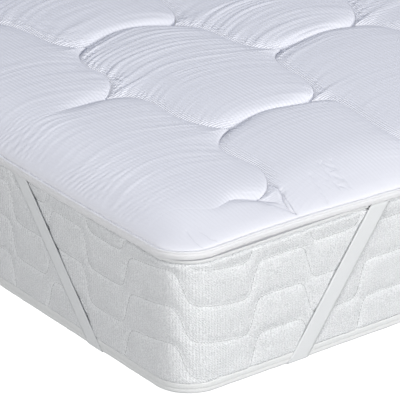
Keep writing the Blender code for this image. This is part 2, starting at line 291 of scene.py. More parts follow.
def outlineAt(s):  # (a, b) and the outward normal at distances s along the outline
    r, arc = plan["cornerRadius"], math.pi / 2 * plan["cornerRadius"]
    s = (np.asarray(s, float) + arc / 2) % perimeter()  # starts where the near corner's arc does
    farA, farB = plan["width"] - r, plan["length"] - r
    a, b, na, nb = (np.zeros_like(s) for _ in range(4))
    start = 0.0
    for centreA, centreB, first, run in ((r, r, 180, farA - r), (farA, r, 270, farB - r),
                                         (farA, farB, 0, farA - r), (r, farB, 90, farB - r)):
        on = (s >= start) & (s < start + arc + run)
        angle = math.radians(first) + np.clip(s - start, 0, arc) / r
        past = np.clip(s - start - arc, 0, run)
        a = np.where(on, centreA + r * np.cos(angle) - past * np.sin(angle), a)
        b = np.where(on, centreB + r * np.sin(angle) + past * np.cos(angle), b)
        na, nb = np.where(on, np.cos(angle), na), np.where(on, np.sin(angle), nb)
        start += arc + run
    return a, b, na, nb


def placed(s, out, z):  # points along the outline, at distances out from it
    a, b, na, nb = outlineAt(s)
    x, y = a + na * out - plan["width"] / 2, b + nb * out - plan["length"] / 2
    return np.stack(np.broadcast_arrays(x, y, z), -1)


# topper

topperSet = {
    "overhang": 0.0012, "baseZ": 0.2503, "rimThickness": 0.0155, "crownThickness": 0.046,
    "rimReach": 0.15, "rimPower": 0.62,
    "columns": 4, "firstColumn": 0.2864, "columnPitch": 0.2725, "sway": 0.0924, "cuspPower": 6.0,
    "rows": 9, "firstRow": 0.1042, "rowPitch": 0.2119, "arch": 0.0188, "rowFade": (0.10, 0.20),
    "broadReach": 0.12, "columnBroad": 0.002, "rowBroad": 0.0035,
    "leftWidth": 0.012, "rightWidth": 0.007, "farWidth": 0.008, "nearWidth": 0.010, "nearShare": 0.65,
    "columnValley": 0.0022, "rowValley": 0.0046, "rowCusp": 0.0042, "cuspValley": 0.0054, "cuspSize": 0.028,
    "shifts": (  # where the sewing is off the repeat: a, b, how far it moves along a and along b
        (0.278, 0.051, -0.053, -0.001), (0.192, 0.118, -0.026, -0.036), (0.269, 0.136, 0.034, -0.020),
        (0.286, 0.210, -0.028, 0.004), (0.333, 0.316, 0.005, -0.002), (0.252, 0.539, 0.024, 0.028),
        (0.192, 0.542, -0.027, -0.017), (0.286, 0.634, -0.002, 0.005), (0.286, 0.846, 0.004, -0.012),
        (0.567, 0.157, -0.027, -0.062), (0.556, 0.242, 0.001, 0.026), (0.525, 0.327, 0.003, -0.008),
        (0.423, 0.335, 0.010, 0.005), (0.559, 0.422, 0.001, 0.008), (0.559, 0.634, -0.005, -0.007),
        (0.525, 0.750, 0.002, -0.016), (0.423, 0.759, 0.022, 0.010), (0.785, 0.528, -0.013, 0.004),
        (0.695, 0.547, 0.018, -0.007),
    ),
    "shiftReach": 0.14, "shiftHold": 0.05,
    "smallShifts": ((0.205, 0.113, 0.0, 0.020), (0.135, 0.124, 0.0, -0.016)), "smallReach": 0.065,
    "cuspWiden": 0.010, "hookReach": 0.050, "seamPoints": 3800, "softRows": 6, "softFrom": (0.002, 0.016),
    "stripLines": (62, 58, 32, 20, 14), "nearRows": 94, "farRows": 34, "nearCells": 3,
    "waveHeight": 0.0055, "wavePerM": (7.5, -4.9), "waveStart": 0.3,
}


def edgeWave(a, b):
    perA, perB = topperSet["wavePerM"]
    return topperSet["waveHeight"] * np.sin(topperSet["waveStart"] + perA * a + perB * b)


def columnSeam(column, b):  # the a of a column seam at b: it swings from cusp to cusp
    s = topperSet
    rows = (b - s["firstRow"]) / s["rowPitch"]
    row = np.floor(rows)
    along = rows - row
    share = 0.5 * (1 - (1 - along) ** s["cuspPower"] + along ** s["cuspPower"])
    side = np.where((row + column) % 2 == 1, 1.0, -1.0)
    return s["firstColumn"] + column * s["columnPitch"] + s["sway"] / 2 * side * (1 - 2 * share)


def rowSeam(row, share):
    s = topperSet
    return s["firstRow"] + row * s["rowPitch"] + s["arch"] * (1 - (2 * share - 1) ** 2)


def stripSides(strip, b):
    s = topperSet
    left = np.where(strip >= 0, columnSeam(strip, b), 0.0)
    right = np.where(strip < s["columns"] - 1, columnSeam(strip + 1, b), plan["width"])
    return left, right


def spread(count, crowd):  # count shares of one cell, closer together at its two ends
    u = np.arange(count) / count
    return u - crowd * np.sin(2 * math.pi * u) / (2 * math.pi)


def topperGrid():
    s = topperSet
    strips, shares = [], []
    for strip, count in enumerate(s["stripLines"], -1):
        strips += [strip] * count
        shares += list(spread(count, 0.5 if strip < 0 else 0.62))
    strips.append(s["columns"] - 1)
    shares.append(1.0)
    first, last = s["firstRow"], s["firstRow"] + (s["rows"] - 1) * s["rowPitch"]
    v = list(np.linspace(0, first, round(first / s["rowPitch"] * s["nearRows"]) + 1)[:-1])
    for row in range(s["rows"] - 1):
        count = s["nearRows"] if row < s["nearCells"] else s["farRows"]
        v += list(first + (row + spread(count, 0.35)) * s["rowPitch"])
    rest = plan["length"] - last
    v += list(np.linspace(last, plan["length"], round(rest / s["rowPitch"] * s["farRows"]) + 1))
    strip, share = np.array(strips)[None, :], np.array(shares)[None, :]
    v = np.array(v)[:, None]
    lift = np.zeros((v.size, strip.size))
    for row in range(s["rows"]):
        level = s["firstRow"] + row * s["rowPitch"]
        reach = min(s["rowPitch"], level, plan["length"] - level)
        near = np.clip(1 - np.abs(v - level) / reach, 0, None)
        lift += ((row + strip) % 2 == 1) * (rowSeam(row, share) - level) * near
    b = v + lift
    left, right = stripSides(strip, b)
    return strip, share, left + share * (right - left), b


def quiltDistances(strip, share, a, b):  # signed: how far past its nearest column and row seam a point is
    s = topperSet
    along = np.linspace(0, plan["length"], s["seamPoints"])
    past, nearest = nearestOf([a - columnSeam(column, b) for column in range(s["columns"])])
    gap = seamGaps(a, b, [(columnSeam(column, along), along) for column in range(s["columns"])])
    count = s["softRows"]  # the gap is averaged over the rows, so that no ridge leaves a cusp
    soft = np.pad(gap, ((count, count), (0, 0)), mode="edge")
    weights = np.hanning(2 * count + 3)[1:-1] / (count + 1)
    soft = sum(soft[i:i + a.shape[0]] * weight for i, weight in enumerate(weights))
    columnGap = np.sign(past) * (gap + (soft - gap) * smoothStep(gap, *s["softFrom"]))
    rowGap = np.full(a.shape, 9.0)
    for row in range(s["rows"]):
        gap = b - rowSeam(row, share)
        nearer = ((row + strip) % 2 == 1) & (np.abs(gap) < np.abs(rowGap))
        rowGap = np.where(nearer, gap, rowGap)
    rows = (b - s["firstRow"]) / s["rowPitch"]
    cuspGap = np.hypot(columnGap, np.abs(rows - np.round(rows)) * s["rowPitch"])
    outward = np.where((np.round(rows) + nearest) % 2 == 1, -1.0, 1.0) * (rows - np.round(rows)) > 0
    hook = np.exp(-(cuspGap / s["hookReach"]) ** 2) * np.where(outward, 1.0, 0.3)  # sewn tightest there
    return columnGap, rowGap, cuspGap, hook


def shiftCusps(a, b):
    movedA, movedB = a.copy(), b.copy()
    freeA, freeB = smoothStep(a, 0, topperSet["shiftHold"]), smoothStep(b, 0, topperSet["shiftHold"])
    for table, reach in (("shifts", topperSet["shiftReach"]), ("smallShifts", topperSet["smallReach"])):
        for placeA, placeB, shiftA, shiftB in topperSet[table]:
            near = np.clip(1 - ((a - placeA) ** 2 + (b - placeB) ** 2) / reach ** 2, 0, None) ** 2
            movedA += shiftA * near * freeA
            movedB += shiftB * near * freeB
    return movedA, movedB


def roundCorners(a, b):
    r = plan["cornerRadius"]
    centreA, centreB = np.clip(a, r, plan["width"] - r), np.clip(b, r, plan["length"] - r)
    pastA, pastB = a - centreA, b - centreB
    shareA, shareB = np.sqrt(1 - (pastB / r) ** 2 / 2), np.sqrt(1 - (pastA / r) ** 2 / 2)
    return centreA + pastA * shareA, centreB + pastB * shareB


def rimRise(distance):
    t = np.clip(distance / topperSet["rimReach"], 0, 1)
    return (1 - (1 - t) ** 2) ** topperSet["rimPower"]


def dip(distance, width):
    return np.exp(-(np.abs(distance) / width) ** 1.3)


def quiltDrop(columnGap, rowGap, cuspGap, fade):
    s = topperSet
    broad = lambda gap: (1 - np.clip(np.abs(gap) / s["broadReach"], 0, 1)) ** 2
    cusp = np.exp(-(cuspGap / s["cuspSize"]) ** 2)
    depth = s["columnValley"] + (s["cuspValley"] - s["columnValley"]) * cusp
    wider = s["cuspWiden"] * np.exp(-cuspGap / 0.05)
    width = np.where(columnGap > 0, s["rightWidth"] + wider, s["leftWidth"])
    column = s["columnBroad"] * broad(columnGap) + depth * dip(columnGap, width)
    width = np.where(rowGap > 0, s["farWidth"] + wider, s["nearWidth"] + 0.5 * wider)
    share = np.where(rowGap > 0, 1.0, s["nearShare"] + (1 - s["nearShare"]) * dip(rowGap, s["nearWidth"]))
    depth = s["rowValley"] + s["rowCusp"] * np.exp(-(cuspGap / 0.06) ** 2)
    row = (s["rowBroad"] * broad(rowGap) * share + depth * dip(rowGap, width)) * fade
    return np.maximum(column, row) + 0.35 * np.minimum(column, row)


folds = {
    "arch": 0.048, "creasePitch": 0.0155, "creaseLength": 0.30, "creaseHeight": 0.0019,
    "finePitch": 0.0085, "fineLength": 0.20, "fineHeight": 0.0011,
    "puckerPitch": 0.0080, "puckerReach": 0.030, "puckerHeight": 0.0011, "toothReach": 0.018,
    "rimPitch": 0.012, "rimReach": 0.085, "rimHeight": 0.00035, "frontPitch": 0.0096, "frontReach": 0.051,
    "stitchDepth": 0.0020, "stitchWidth": 0.0030,
    "farFrom": (0.40, 0.60), "leftReach": 0.10, "cuspReach": 0.10,
    "inCells": {"base": 0.03, "far": 0.27, "left": 0.10, "farLeft": 0.65, "cusp": 0.22, "patch": 0.08},
    "inBorder": {"base": 0.26, "cusp": 0.22, "patch": 0.28},
    "calm": (  # with fewer wrinkles: a, b, how wide, how long, how calm, and the first strip that it is in
        (0.42, 0.15, 0.13, 0.11, 0.75, -1), (0.27, 0.09, 0.08, 0.07, 0.90, 0),
    ),
}

# creases near the corner: depth, width, how dark the painted shade along it is, then the points (a, b) that
# each runs through
cornerCreases = (
    (0.0024, 0.0022, 0.9, ((0.258, 0.068), (0.254, 0.058), (0.245, 0.044), (0.239, 0.022), (0.242, 0.009))),
    (0.0024, 0.0022, 0.9, ((0.258, 0.100), (0.260, 0.084), (0.259, 0.066), (0.252, 0.046), (0.248, 0.026),
                           (0.244, 0.008))),
    (-0.0012, 0.0030, 0.0, ((0.256, 0.056), (0.249, 0.040), (0.243, 0.022), (0.243, 0.012))),
    (0.0008, 0.0030, 0.3, ((0.214, 0.054), (0.226, 0.034), (0.234, 0.020), (0.242, 0.009))),
    (0.0008, 0.0024, 0.4, ((0.053, 0.051), (0.050, 0.039), (0.048, 0.023), (0.049, 0.010), (0.051, 0.005))),
    (0.0008, 0.0024, 0.4, ((0.069, 0.035), (0.072, 0.023), (0.073, 0.013), (0.080, 0.006))),
)

frontFolds = (  # the points (a, b) that each runs through
    ((0.368, 0.105), (0.363, 0.079), (0.357, 0.053), (0.352, 0.033)),
    ((0.331, 0.079), (0.324, 0.054), (0.318, 0.030), (0.313, 0.012)),
    ((0.392, 0.100), (0.381, 0.073), (0.376, 0.050), (0.371, 0.027)),
)


def runGap(a, b, points):  # signed distance from a run of straight pieces
    gap = np.full(a.shape, 9.0)
    for (a0, b0), (a1, b1) in zip(points[:-1], points[1:]):
        t = ((a - a0) * (a1 - a0) + (b - b0) * (b1 - b0)) / ((a1 - a0) ** 2 + (b1 - b0) ** 2)
        t = np.clip(t, 0, 1)
        far = np.hypot(a - a0 - t * (a1 - a0), b - b0 - t * (b1 - b0))
        side = np.where((a - a0) * (b1 - b0) > (b - b0) * (a1 - a0), 1.0, -1.0)
        gap = np.where(far < np.abs(gap), side * far, gap)
    return gap


def creased(a, b, pitch, length, seed, wander):  # long soft ridges along X with sharp valleys between
    noise = cellNoise(a / length + seed * 1.7, b / pitch + wander, seed)
    return np.minimum(np.abs(noise) * 2.4, 1.0) - 0.45


def foldRelief(strip, share, a, b, columnGap, cuspGap, edgeA, edgeB):
    f, cells, border = folds, folds["inCells"], folds["inBorder"]
    across = b - f["arch"] * (1 - (2 * share - 1) ** 2)
    wander = np.where(strip < 0, 0.5, 0.8) * cellNoise(a / 0.16, across / 0.10, 3)
    leftSide = np.exp(-(a - stripSides(strip, b)[0]) / f["leftReach"])
    atCusp = np.exp(-(cuspGap / f["cuspReach"]) ** 2)
    patches = smoothStep(cellNoise(a / 0.19, b / 0.13, 31), -0.3, 0.35)
    farther = smoothStep(b, *f["farFrom"])
    inCells = cells["base"] + cells["far"] * farther + (cells["left"] + cells["farLeft"] * farther) * leftSide
    inCells = inCells + cells["cusp"] * atCusp + cells["patch"] * patches
    inBorder = border["base"] + border["cusp"] * atCusp + border["patch"] * patches
    inBorder = inBorder * (0.45 + 0.55 * smoothStep(edgeA, 0.01, 0.08)) * (0.5 + 0.5 * np.exp(-edgeA / 0.12))
    strength = np.where(strip < 0, inBorder * smoothStep(b, 0.10, 0.24), inCells)
    for placeA, placeB, wide, deep, calm, firstStrip in f["calm"]:
        near = np.exp(-(((a - placeA) / wide) ** 2 + ((b - placeB) / deep) ** 2))
        strength = strength * (1 - calm * near * (strip >= firstStrip))
    strip = strip + 2.0
    coarse = creased(a, across, f["creasePitch"], f["creaseLength"], 11, strip * 3.7 + wander)
    fine = creased(a, across, f["finePitch"], f["fineLength"], 23, strip * 5.1 + 1.6 * wander)
    long = (coarse * f["creaseHeight"] + fine * f["fineHeight"]) * strength
    pucker = ripples(across, f["puckerPitch"], 0.9 * cellNoise(a / 0.05, b / 0.02, 41))
    onRight = np.where(columnGap > 0, 0.35 + 0.65 * smoothStep(b, 0.42, 0.62), 0.25)
    pucker *= f["puckerHeight"] * np.exp(-np.abs(columnGap) / f["puckerReach"]) * onRight
    rim = ripples(b, f["rimPitch"], 1.6 * cellNoise(a / 0.2, b / 0.05, 47))
    rim *= f["rimHeight"] * np.exp(-edgeA / f["rimReach"])
    rim *= (0.3 + 0.7 * smoothStep(cellNoise(a / 0.3, b / 0.09, 49), -0.3, 0.2)) * smoothStep(b, 0.06, 0.22)
    front = ripples(a, f["frontPitch"], 1.6 * cellNoise(a / 0.05, b / 0.2, 53))
    front *= f["rimHeight"] * np.exp(-edgeB / f["frontReach"])
    front *= 0.25 + 0.75 * smoothStep(cellNoise(a / 0.12, b / 0.3, 57), -0.1, 0.3)
    return long + pucker + rim + front


def topperPoints():
    s = topperSet
    strip, share, evenA, evenB = topperGrid()
    columnGap, rowGap, cuspGap, hook = quiltDistances(strip, share, evenA, evenB)
    a, b = shiftCusps(evenA, evenB)
    edgeA, edgeB = np.minimum(a, plan["width"] - a), np.minimum(b, plan["length"] - b)
    edge = np.minimum(edgeA, edgeB)
    inner = (strip >= 0) & (strip < s["columns"] - 1)
    fade = np.where(inner, 1.0, 0.65 * smoothStep(edgeA, *s["rowFade"]))
    drop = quiltDrop(columnGap, rowGap, cuspGap, fade)
    rise = rimRise(edgeA) * rimRise(edgeB)
    rim = s["rimThickness"]
    height = rim + edgeWave(a, b) * (1 - rise) + (s["crownThickness"] - drop - rim) * rise
    seenRow = rowGap / np.maximum(fade, 0.05)
    seamGap = np.minimum(np.abs(columnGap), np.abs(seenRow))
    onRow = 0.18 + 0.25 * np.exp(-cuspGap / 0.05)
    tight = np.where(np.abs(columnGap) < np.abs(rowGap), 0.2 + 0.8 * hook, onRow)
    stitch = folds["stitchDepth"] * np.exp(-(seamGap / folds["stitchWidth"]) ** 2) * tight
    relief = foldRelief(strip, share, a, b, columnGap, cuspGap, edgeA, edgeB)
    relief = relief * smoothStep(seamGap, 0.0, 0.010)
    held = smoothStep(edge, 0.0, 0.014)
    # weight of the painted seam shade: it grows with the seams' tightness, away from the edge
    paintedSeamWeight = smoothStep(edge, 0.01, 0.05) * tight
    inside = smoothStep(edge, 0.015, 0.13)
    roundA, roundB = roundCorners(a, b)
    nearColumn = np.abs(columnGap) < np.abs(rowGap) + 0.004
    marks = {
        "seamShade": np.exp(-(seenRow / 0.0022) ** 2) * paintedSeamWeight,
        "inside": inside,
        "tooth": np.where(columnGap > 0, np.exp(-columnGap / folds["toothReach"]), 0.0) * inside,
        # a thin painted shade line along the hook seams, which the bump also dents
        "offHook": np.clip(columnGap, -0.02, 0.02),
        "markHook": 1.3 * paintedSeamWeight * np.exp(-(columnGap / 0.008) ** 2) * nearColumn,
    }
    height = height + held * (relief - stitch * rise) - held * creaseDepth(roundA, roundB, marks)
    stretch = 1 + 2 * s["overhang"] / plan["width"]
    x, y = (roundA - plan["width"] / 2) * stretch, (roundB - plan["length"] / 2) * stretch
    return np.stack([x, y, s["baseZ"] + height], -1), marks


def creaseDepth(a, b, marks):  # the corner's creases, and the marks that the cotton's thin lines of painted shade and its fold dents come from
    for group, rows in (("Even", cornerCreases[::2]), ("Odd", cornerCreases[1::2])):  # neighbours lie apart
        rows = [row for row in rows if row[2] > 0]
        off, nearest = nearestOf([runGap(a, b, row[3]) for row in rows])
        shades = np.array([row[2] for row in rows])[nearest]
        marks["off" + group] = np.where(np.abs(off) < 0.05, off, 0.05)
        marks["mark" + group] = shades * np.exp(-(off / 0.005) ** 2)
    off = nearestOf([runGap(a, b, points) for points in frontFolds])[0]
    marks["offFold"], marks["markFold"] = np.clip(off, -0.05, 0.05), np.exp(-(off / 0.008) ** 2)
    return sum(row[0] * np.exp(-(runGap(a, b, row[3]) / row[1]) ** 2) for row in cornerCreases)


def makeTopper(material):
    grid, marks = topperPoints()
    rows, columns = grid.shape[:2]
    points = grid.reshape(-1, 3)
    index = np.arange(rows * columns).reshape(rows, columns)
    faces = gridFaces(index)
    rim = np.concatenate([index[0, :-1], index[:-1, -1], index[-1, :0:-1], index[:0:-1, 0]])
    base = points[rim].copy()
    base[:, 2] = topperSet["baseZ"]
    low = np.arange(len(points), len(points) + len(rim))
    faces += np.stack([rim, low, np.roll(low, -1), np.roll(rim, -1)], -1).tolist()
    faces.append(low[::-1].tolist())
    piece = meshPiece("topperQuilted", np.concatenate([points, base]), faces, material)
    for name, values in marks.items():
        floatAttribute(piece.data, name, np.concatenate([values.ravel(), np.zeros(len(rim))]))
    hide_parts("topper")


# mattress: its border is quilted in stacked square waves, laid out in (s, z)

mattressSet = {
    "height": 0.25, "inset": 0.0073, "rounding": 0.008, "wallRows": 66,
    "nearStep": 0.0040, "farStep": 0.0085, "nearReach": 0.95,
    "seams": 4, "firstSeam": 0.0455, "seamPitch": 0.0675, "rise": 0.066, "repeats": 28, "square": 4.2,
    "cornerStretch": 0.035, "cornerReach": 0.12, "cornerLift": 0.018, "liftReach": 0.08,
    "belly": (0.0036, 0.0040), "lobe": 0.0034, "lobeReach": 0.0070,
    "gatherPitch": 0.0066, "gatherHeight": 0.0010, "gatherReach": 0.016,
    # the last of these sets how far the painted highlight along each seam reaches
    "freeLow": (0.0185, 0.0215), "freeHigh": (0.2395, 0.2424), "edgeBulge": 0.0018, "seamHighlightReach": 0.0045,
    "strapLine": 0.2479, "grooveHalf": 0.019, "grooveSlope": 0.003, "grooveDepth": 0.0022,
}


def wavePhase(s):
    m = mattressSet
    near, front, back, far = cornerStops()
    turn = lambda stop, rest: np.tanh((s - stop) / m["cornerReach"]) + rest
    turned = turn(near, 0) + turn(front, 1) + turn(back, -1) + turn(far, 1) + turn(-far, -1)
    repeat = (perimeter() - 8 * m["cornerStretch"]) / m["repeats"]
    return (s - m["cornerStretch"] * turned) / repeat


def borderSeam(seam, s):
    m = mattressSet
    wave = np.tanh(m["square"] * ripples(wavePhase(s), 1)) / math.tanh(m["square"])
    corner = sum(np.exp(-((s - stop) / m["liftReach"]) ** 2) for stop in (*cornerStops(), -perimeter() / 2))
    return m["firstSeam"] + seam * m["seamPitch"] - m["rise"] / 2 * wave + m["cornerLift"] * corner


def borderRuns(step):  # each seam as (s, z), evenly stepped along its own length
    runs = []
    for seam in range(mattressSet["seams"]):
        s = np.linspace(-perimeter() / 2, perimeter() / 2, 12000)
        z = borderSeam(seam, s)
        length = np.concatenate([[0], np.cumsum(np.hypot(np.diff(s), np.diff(z)))])
        even = np.linspace(0, length[-1], int(length[-1] / step))[:-1]
        runs.append((np.interp(even, length, s), np.interp(even, length, z)))
    return runs


def wallRelief(s, z, gap):
    m = mattressSet
    (low, lowFree), (highFree, high) = m["freeLow"], m["freeHigh"]
    free = smoothStep(z, low, lowFree) * (1 - smoothStep(z, highFree, high))
    lobe = m["lobe"] * (1 - np.exp(-gap / m["lobeReach"]))
    edges = np.exp(-((z - lowFree) / 0.012) ** 2) + np.exp(-((z - highFree) / 0.018) ** 2)
    belly = m["belly"][0] + m["belly"][1] * z + m["edgeBulge"] * edges
    gather = ripples(s, m["gatherPitch"], 0.8 * cellNoise(s / 0.03, z / 0.05, 61))
    gather *= m["gatherHeight"] * np.exp(-np.abs(high - z) / m["gatherReach"])
    rumple = 0.0012 * cellNoise(s / 0.05, z / 0.03, 67)
    return np.minimum(lobe + belly + gather + rumple, m["inset"] + 0.010 * z) * free


def wallStops():  # places along the outline, closer together round the near corner
    m, total = mattressSet, perimeter()
    near = np.arange(-m["nearReach"], m["nearReach"], m["nearStep"])
    far = np.arange(near[-1] + m["farStep"], near[0] + total - m["farStep"] / 2, m["farStep"])
    return np.sort(np.concatenate([near, np.where(far > total / 2, far - total, far)]))


def wallLevels():  # heights up the wall, closer together at the two tapes
    m = mattressSet
    (low, lowFree), (highFree, high) = m["freeLow"], m["freeHigh"]
    low, high = np.linspace(low, lowFree, 4), np.linspace(highFree, high, 4)
    middle = np.linspace(lowFree, highFree, m["wallRows"])[1:-1]
    return np.concatenate([[m["rounding"], 0.013], low, middle, high])


def makeMattress(material):
    m = mattressSet
    s, wallZ, runs = wallStops(), wallLevels(), borderRuns(0.0012)
    count = len(s)
    turn = np.linspace(0, math.pi / 2, 4)
    top = m["height"] - m["rounding"] * (1 - np.cos(turn[-1::-1]))
    z = np.concatenate([m["rounding"] * (1 - np.cos(turn[:-1])), wallZ, top[top > wallZ[-1]]])
    turned = np.clip(np.maximum(m["rounding"] - z, z - m["height"] + m["rounding"]) / m["rounding"], 0, 1)
    pull = m["rounding"] * (1 - np.sqrt(1 - turned ** 2))
    gridS, gridZ = np.meshgrid(s, z)
    gap = seamGaps(gridS, gridZ, runs)
    relief = wallRelief(gridS, gridZ, gap)
    out = relief - m["inset"] - pull[:, None]
    points = placed(gridS, out, gridZ).reshape(-1, 3)
    rows = len(z)
    piece = meshPiece("mattressQuilted", points, tubeFaces(rows, count), material)
    addWallMap(piece.data, s, z, count)
    # the knit is lighter along each seam: a painted highlight on the lobes' upper slopes
    paintedSeamWeight = (gridZ > m["freeLow"][0]) & (gridZ < m["freeHigh"][1])
    floatAttribute(piece.data, "seamHighlight", np.exp(-(gap / m["seamHighlightReach"]) ** 2) * paintedSeamWeight)
    cutGrooves(piece.data)
    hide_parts("mattress")

    def wallOut(alongS, upZ):  # how far out the finished wall is at a place
        column = np.clip(np.searchsorted(s, alongS) - 1, 0, count - 2)
        row = np.clip(np.searchsorted(z, upZ) - 1, 0, rows - 2)
        u, v = (alongS - s[column]) / (s[column + 1] - s[column]), (upZ - z[row]) / (z[row + 1] - z[row])
        low = out[row, column] + (out[row, column + 1] - out[row, column]) * u
        high = out[row + 1, column] + (out[row + 1, column + 1] - out[row + 1, column]) * u
        return low + (high - low) * v

    return runs, wallOut


def addWallMap(mesh, s, z, count):  # u runs along the outline and v up the wall; on the flat faces, x and y
    corner = np.empty(len(mesh.loops), int)
    mesh.loops.foreach_get("vertex_index", corner)
    u, v = s[corner % count], z[corner // count]
    quads = 4 * (len(z) - 1) * count
    block = u[:quads].reshape(-1, 4)
    wraps = (block.max(1) - block.min(1)) > perimeter() / 2
    block[wraps] = np.where(block[wraps] < 0, block[wraps] + perimeter(), block[wraps])
    u[:quads] = block.ravel()
    flat = np.array([mesh.vertices[i].co for i in corner[quads:]])
    u[quads:], v[quads:] = flat[:, 0], flat[:, 1]
    layer = mesh.uv_layers.new(name="wall")
    layer.data.foreach_set("uv", np.stack([u, v], -1).ravel())


def cutGrooves(mesh):  # a shallow groove under each strap, from one side to the other
    m = mattressSet
    bm = bmesh.new()
    bm.from_mesh(mesh)
    bm.faces.ensure_lookup_table()
    for signX in (-1, 1):
        for signY in (-1, 1):
            normal = Vector((signX, signY, 0)).normalized()
            half = m["grooveHalf"]
            for offset in (-half - m["grooveSlope"], -half, half, half + m["grooveSlope"]):
                reach = (plan["width"] / 2 + plan["length"] / 2 - m["strapLine"]) / math.sqrt(2) + offset
                low = [f for f in bm.faces if len(f.verts) > 20 and f.calc_center_median().z < 0.01
                       and f.normal.z < -0.9]
                geom = low + list({e for f in low for e in f.edges}) + list({v for f in low for v in f.verts})
                bmesh.ops.bisect_plane(bm, geom=geom, dist=1e-6, plane_co=normal * reach, plane_no=normal)
    for vert in bm.verts:
        if vert.co.z < 0.004:
            line = plan["width"] / 2 - abs(vert.co.x) + plan["length"] / 2 - abs(vert.co.y)
            if abs(line - m["strapLine"]) / math.sqrt(2) < m["grooveHalf"] + 0.001:
                vert.co.z = max(vert.co.z, m["grooveDepth"])
    bm.normal_update()
    for face in bm.faces:
        if abs(face.normal.z) > 0.99 and face.calc_area() > 0.001:
            face.smooth = False
    bm.to_mesh(mesh)
    bm.free()


# tapes and stitches, by Geometry Nodes

tapes = {
    "bindingTape": {
        "node": "binding", "slot": "binding_tape", "out": 0.0047, "low": 0.2515,
        "Thickness": 0.008, "Height": 0.015, "Rounding": 0.0032,
        "Bulge": 0.0008, "Uneven": 0.0022, "Crease Place": -0.0042, "Crease Depth": 0.0016,
    },
    "mattressTapeTop": {
        "node": "mattress_tape_top", "slot": "mattress_tape", "out": -0.0035, "low": 0.2425,
        "Thickness": 0.007, "Height": 0.0072, "Rounding": 0.0026,
        "Bulge": 0.0, "Uneven": 0.0006, "Crease Place": 0.0, "Crease Depth": 0.0,
    },
    "mattressTapeBottom": {
        "node": "mattress_tape_bottom", "slot": "mattress_tape", "out": -0.0035, "low": 0.0022,
        "Thickness": 0.007, "Height": 0.020, "Rounding": 0.0034,
        "Bulge": 0.0008, "Uneven": 0.0016, "Crease Place": 0.0012, "Crease Depth": 0.0010,
    },
}

sweep = {"step": 0.006, "roundSteps": 4, "profilePoints": 40, "creaseWidth": 0.0016, "unevenScale": 32.0}


def storeFloat(tree, geometry, name, value):
    return geoNode(tree, "StoreNamedAttribute", {"Geometry": geometry, "Name": name, "Value": value})


def finishTree(tree, given, geometry):
    smooth = geoNode(tree, "SetShadeSmooth", {"Geometry": geometry})
    real = geoNode(tree, "RealizeInstances", {0: smooth})
    paint = geoNode(tree, "SetMaterial", {"Geometry": real, "Material": given["Material"]})
    tree.links.new(paint, tree.nodes.new("NodeGroupOutput").inputs["Geometry"])
    return tree


def tapeTree():
    sizes = ("Thickness", "Height", "Rounding", "Bulge", "Uneven", "Crease Place", "Crease Depth")
    tree, given = newTree("sweptTape", sizes)
    curve = geoNode(tree, "MeshToCurve", {0: given["Geometry"]})
    upright = geoNode(tree, "SetCurveNormal", {"Curve": curve}, mode="Z_UP")
    path = storeFloat(tree, upright, "along", addNode(tree, "GeometryNodeSplineParameter")["Length"])
    sockets = {"Width": given["Thickness"], "Height": given["Height"]}
    box = geoNode(tree, "CurvePrimitiveQuadrilateral", sockets)
    sockets = {"Curve": box, "Count": sweep["roundSteps"], "Radius": given["Rounding"]}
    rounded = geoNode(tree, "FilletCurve", sockets, mode="POLY")
    profile = geoNode(tree, "ResampleCurve", {"Curve": rounded, "Count": sweep["profilePoints"]})
    split = addNode(tree, "ShaderNodeSeparateXYZ", {0: geoNode(tree, "InputPosition")})
    for name, socket in (("outward", "X"), ("upward", "Y")):  # kept for the cloth's weave and the crease
        profile = storeFloat(tree, profile, name, split[socket])
    share = addMath(tree, "DIVIDE", split["Y"], times(tree, given["Height"], 0.5))
    crown = addMath(tree, "SUBTRACT", 1.0, times(tree, share, share))
    outer = addMath(tree, "GREATER_THAN", split["X"], 0.0)
    bulge = times(tree, times(tree, crown, outer), given["Bulge"])
    push = addNode(tree, "ShaderNodeCombineXYZ", {"X": bulge})[0]
    swell = geoNode(tree, "SetPosition", {"Geometry": profile, "Offset": push})
    swept = geoNode(tree, "CurveToMesh", {"Curve": path, "Profile Curve": swell})
    upward = geoNode(tree, "InputNamedAttribute", {"Name": "upward"})
    off = addMath(tree, "SUBTRACT", upward, given["Crease Place"])
    crease = bell(tree, addMath(tree, "DIVIDE", off, sweep["creaseWidth"]))
    depth = times(tree, crease, times(tree, given["Crease Depth"], -1.0))
    noise = addNode(tree, "ShaderNodeTexNoise", {"Scale": sweep["unevenScale"]})["Fac"]
    depth = plus(tree, depth, times(tree, addMath(tree, "SUBTRACT", noise, 0.5), given["Uneven"]))
    sockets = {0: geoNode(tree, "InputNormal"), "Scale": depth}
    offset = addNode(tree, "ShaderNodeVectorMath", sockets, operation="SCALE")[0]
    moved = geoNode(tree, "SetPosition", {"Geometry": swept, "Offset": offset})
    return finishTree(tree, given, moved)


def evenRun(tree, given, step):  # the path as a curve, with its points a step apart
    curve = geoNode(tree, "MeshToCurve", {0: given["Geometry"]})
    return geoNode(tree, "ResampleCurve", {"Curve": curve, "Length": given[step]}, mode="LENGTH")


def stitchTree():
    tree, given = newTree("stitchRun", ("Pitch", "Length", "Radius"))
    thread = geoNode(tree, "MeshUVSphere", {"Segments": 5, "Rings": 3, "Radius": 1.0})
    tangent = geoNode(tree, "InputTangent")
    turn = addNode(tree, "FunctionNodeAlignRotationToVector", {"Vector": tangent}, axis="Z")[0]
    sockets = {"X": given["Radius"], "Y": given["Radius"], "Z": times(tree, given["Length"], 0.5)}
    size = addNode(tree, "ShaderNodeCombineXYZ", sockets)[0]
    sockets = {"Points": evenRun(tree, given, "Pitch"), "Instance": thread, "Rotation": turn, "Scale": size}
    return finishTree(tree, given, geoNode(tree, "InstanceOnPoints", sockets))


